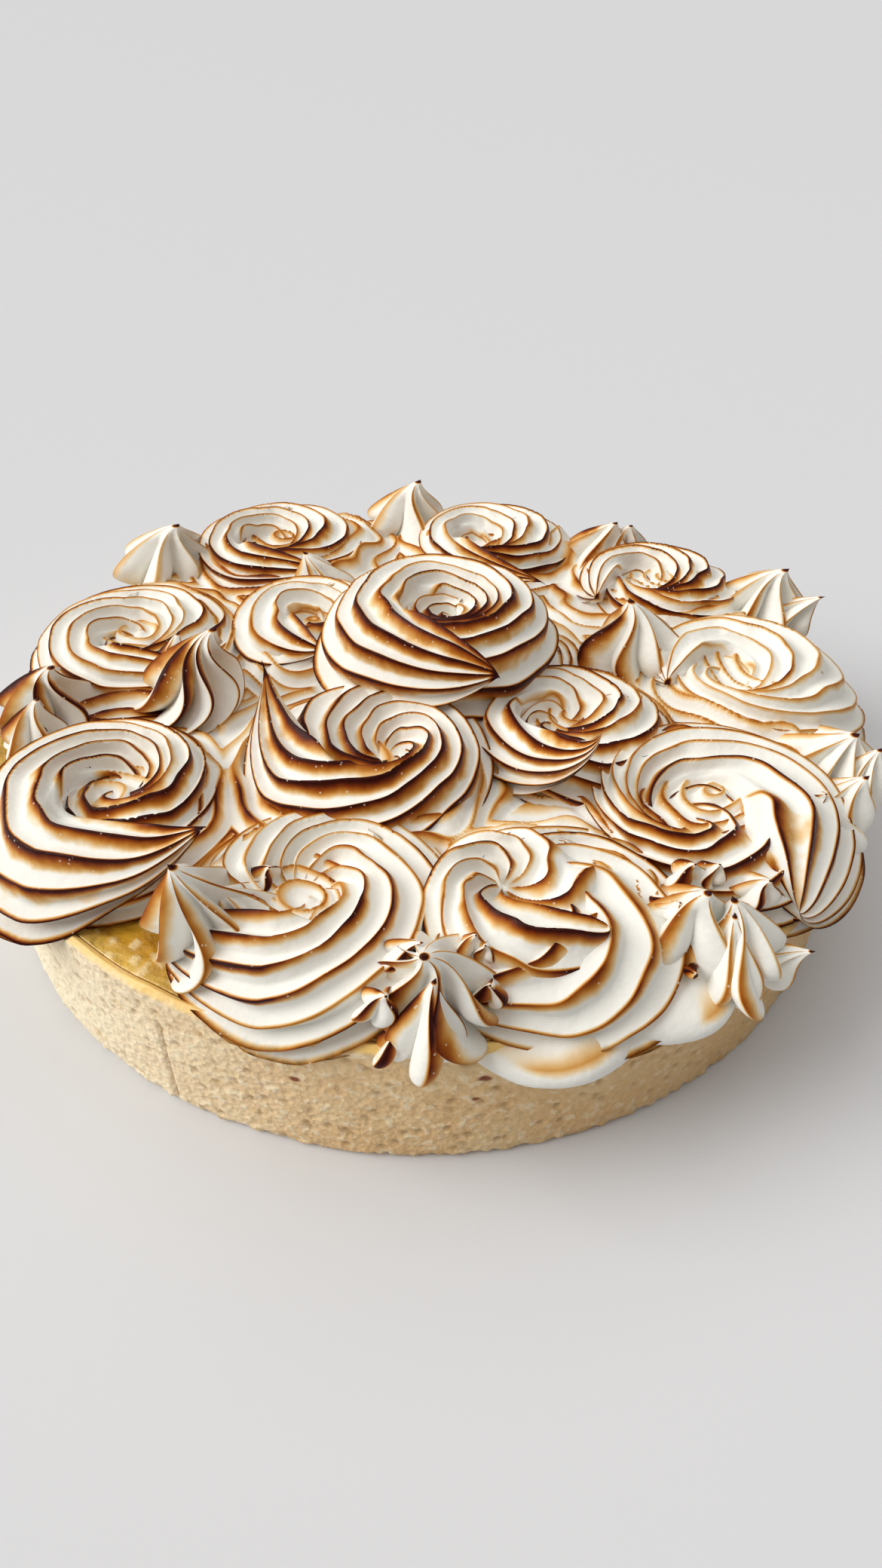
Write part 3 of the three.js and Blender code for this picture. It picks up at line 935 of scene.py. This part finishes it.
def kiss_tree(around, downwards):
    """`along` runs round the kiss and `across` from its tip down to the foot and in underneath."""
    tree, g = new_tree(
        "kiss",
        {
            "Foot X": 0, "Foot Y": 0, "Foot Z": 44, "Tip X": 0, "Tip Y": 0, "Tip Z": 66, "Radius": 16,
            "Ridges": 7, "Twist": 1.0, "Depth": 0.6, "Curl": 2.2, "Slender": 1.15, "Toast": 0.6,
            "Seed": 0,
        },
    )
    mesh, along, across = sheet_of_points(tree, around, downwards)
    side_share, under_turn = 0.88, math.radians(124)
    down = held(across / side_share)
    below = held((across - side_share) / (1 - side_share))
    rise = (1.0 - down) ** 1.25
    swell = sin(down * under_turn) ** g["Slender"]

    # Near the tip the ridges are sharp with rounded hollows, and at the foot they are round petals.
    ridge = g["Ridges"] * along
    share = work(tree, "FRACT", ridge)
    on_crest = work(tree, "ABSOLUTE", cos(math.pi * share))
    number = work(tree, "MODULO", work(tree, "FLOOR", ridge + 0.5), g["Ridges"])
    own = 0.5 + (dice(tree, number + g["Seed"] * 31.0) - 0.5) * on_crest
    valley = between(sin(math.pi * share), 1.0 - on_crest, 0.85 * eased(down, 0.12, 0.6))
    depth = g["Depth"] * eased(down, 0.0, 0.3)
    petal = 1.0 + 0.55 * (own - 0.5) * eased(down, 0.35, 0.9)
    radius = g["Radius"] * swell * petal * (1.0 - depth * valley) * (1.0 - below)

    angle = along * (2 * math.pi) + g["Seed"]
    angle = angle + 0.22 * sin(angle + g["Seed"] * 1.7) + 0.12 * sin(angle * 2.0 + g["Seed"])
    angle = angle + g["Twist"] * sin(down * math.pi)
    lean = rise ** 1.6
    hook = g["Curl"] * rise ** 7
    lean_x = g["Tip X"] - g["Foot X"]
    lean_y = g["Tip Y"] - g["Foot Y"]
    reach = (lean_x * lean_x + lean_y * lean_y) ** 0.5 + 0.01
    droop = 0.9 * greater(down - 0.7, 0.0) * g["Radius"] * (own - 0.4)
    px = g["Foot X"] + lean_x * lean + lean_x / reach * hook + radius * cos(angle)
    py = g["Foot Y"] + lean_y * lean + lean_y / reach * hook + radius * sin(angle)
    pz = between(g["Foot Z"], g["Tip Z"], rise) - 0.35 * hook - droop * (1.0 - below)

    glow = cloudy(tree, px * 0.03, py * 0.03, pz * 0.03 + g["Seed"], detail=1.0)
    toast = 0.9 * g["Toast"] * (0.3 + 1.4 * glow) * (0.5 + own) * eased(down, 0.02, 0.2)
    toast = toast * (1.0 - 0.8 * eased(down, 0.6, 0.92))
    char = 1.0 - eased(down, 0.02, 0.16)
    notes = {
        "crest_sine": sin(ridge * (2 * math.pi)), "crest_cosine": cos(ridge * (2 * math.pi)),
        "toast": toast, "char": char,
    }
    close_up(tree, mesh, triple(tree, px * mm, py * mm, pz * mm), notes, meringue_paint)
    return tree


# In millimetres. Each line is one squeeze: the middle of its foot, its tip, the radius of its foot, how
# brown it is, how far its ridges twist and how many it has.
kisses = {
    "kiss_left": [
        ((-107, -17, 43), (-101.5, -20, 68), 16.5, 1.4, 1.3, 7),
        ((-107, -31, 44), (-103, -30, 63.5), 10, 1.3, 0.9, 5),
    ],
    "kiss_inner_left": [
        ((-68, -12, 46), (-59, -10, 74), 17, 1.4, 1.5, 8),
        ((-73, -4, 48), (-71, -1, 66), 9, 1.6, 0.5, 4),
    ],
    "kiss_back_left": [((-92, 71, 43), (-86, 69, 67), 20, 0.25, 0.4, 8)],
    "kiss_back": [((-8, 103, 43), (-4, 103, 69), 18, 0.5, 0.9, 6)],
    "kiss_inner_back": [((-33, 54, 46), (-39, 56, 63), 13, 0.6, 0.6, 6)],
    "kiss_back_right": [
        ((62, 82, 44), (66, 77, 66), 14, 0.8, -0.5, 6),
        ((71, 82, 44), (72, 77, 65), 12, 0.8, 0.4, 6),
    ],
    "kiss_right_back": [
        ((111, 49, 42.5), (117, 46, 65), 17, 0.5, 0.4, 8),
        ((118, 43, 42.5), (128, 36, 60), 10, 0.8, -0.3, 5),
    ],
    "kiss_inner_right": [((65, 12, 46), (63, 14, 70), 18, 1.5, -0.7, 7)],
    "kiss_right": [
        ((108, -36, 42.5), (113, -38, 61), 17, 0.35, -0.3, 8),
        ((115, -44, 42.5), (119, -43, 59), 10, 0.5, 0.3, 6),
    ],
    "kiss_right_low": [
        ((106, -54, 42.5), (113, -52, 57), 11, 0.4, 0.4, 6),
        ((103, -62, 42.5), (103, -62, 54), 10, 0.1, 0.2, 3),
        ((92, -55, 52), (93, -57, 59), 4.5, 1.2, 0.8, 3),
        ((99, -58, 51), (100, -60, 58), 5, 1.0, -0.6, 3),
    ],
    "kiss_front_left": [
        ((-46, -98, 42.5), (-50, -101, 74), 15, 0.75, 0.9, 8),
        ((-35, -96, 44), (-43, -99, 64), 12, 0.7, -0.6, 6),
        ((-36, -87, 53), (-34, -89, 60), 4.5, 1.8, 0.6, 3),
    ],
    "kiss_front": [
        ((4, -113, 43), (1, -119, 68), 16, 0.9, -0.8, 8),
        ((-5, -110, 54), (0, -114, 64), 4.5, 1.8, 0.4, 3),
        ((10, -109, 54), (11, -111, 63), 4, 1.8, 0.8, 3),
        ((14, -110, 54), (13, -113, 62), 3.6, 1.8, -0.8, 3),
        ((15, -117, 50), (14, -119, 57), 4.5, 2.2, 0.5, 3),
        ((-9, -121, 50), (-7, -124, 60), 5.5, 1.4, 0.5, 4),
    ],
    "kiss_front_low": [
        ((1, -124, 41), (2, -123, 63), 8.5, 1.1, 0.25, 4),
        ((-6, -125, 41.5), (-4, -124, 50), 4.5, 1.8, 0.3, 3),
    ],
    "kiss_front_right": [
        ((59, -98, 43), (60, -99, 65), 14, 0.5, 0.5, 5),
        ((70, -102, 42), (68, -100, 62), 13, 0.7, -0.5, 6),
        ((67, -106, 41), (67, -103, 60), 9, 0.6, 0.4, 4),
        ((77, -100, 40), (86, -103, 49), 7, 0.4, 0.2, 5),
        ((58, -108, 47.5), (58.5, -111, 50.5), 2.8, 8.0, 0.2, 3),
        ((60, -86, 53), (61, -88, 61), 5, 1.5, 0.5, 3),
        ((66, -85, 52), (67, -87, 60), 4.5, 1.5, -0.7, 3),
        ((76, -88, 50), (78, -90, 58), 6.5, 1.2, 0.6, 4),
        ((55, -96, 54), (56, -98, 59), 4.5, 1.0, 0.5, 3),
    ],
}

squeeze = kiss_tree(121, 66)
small_squeeze = kiss_tree(61, 34)
small_radius, curl_share = 8, 0.14
made = 0
for name, squeezes in kisses.items():
    pieces = []
    for foot, tip, radius, toast, twist, ridges in squeezes:
        made += 1
        numbers = {
            "Foot X": foot[0], "Foot Y": foot[1], "Foot Z": foot[2], "Tip X": tip[0], "Tip Y": tip[1],
            "Tip Z": tip[2], "Radius": radius, "Ridges": ridges, "Twist": twist,
            "Curl": curl_share * radius, "Toast": toast, "Seed": made,
        }
        tree = squeeze if radius > small_radius else small_squeeze
        pieces.append(grown(tree, "piped_" + name, numbers))
    piece = joined(pieces)
    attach(piece, "root")
    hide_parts(name)
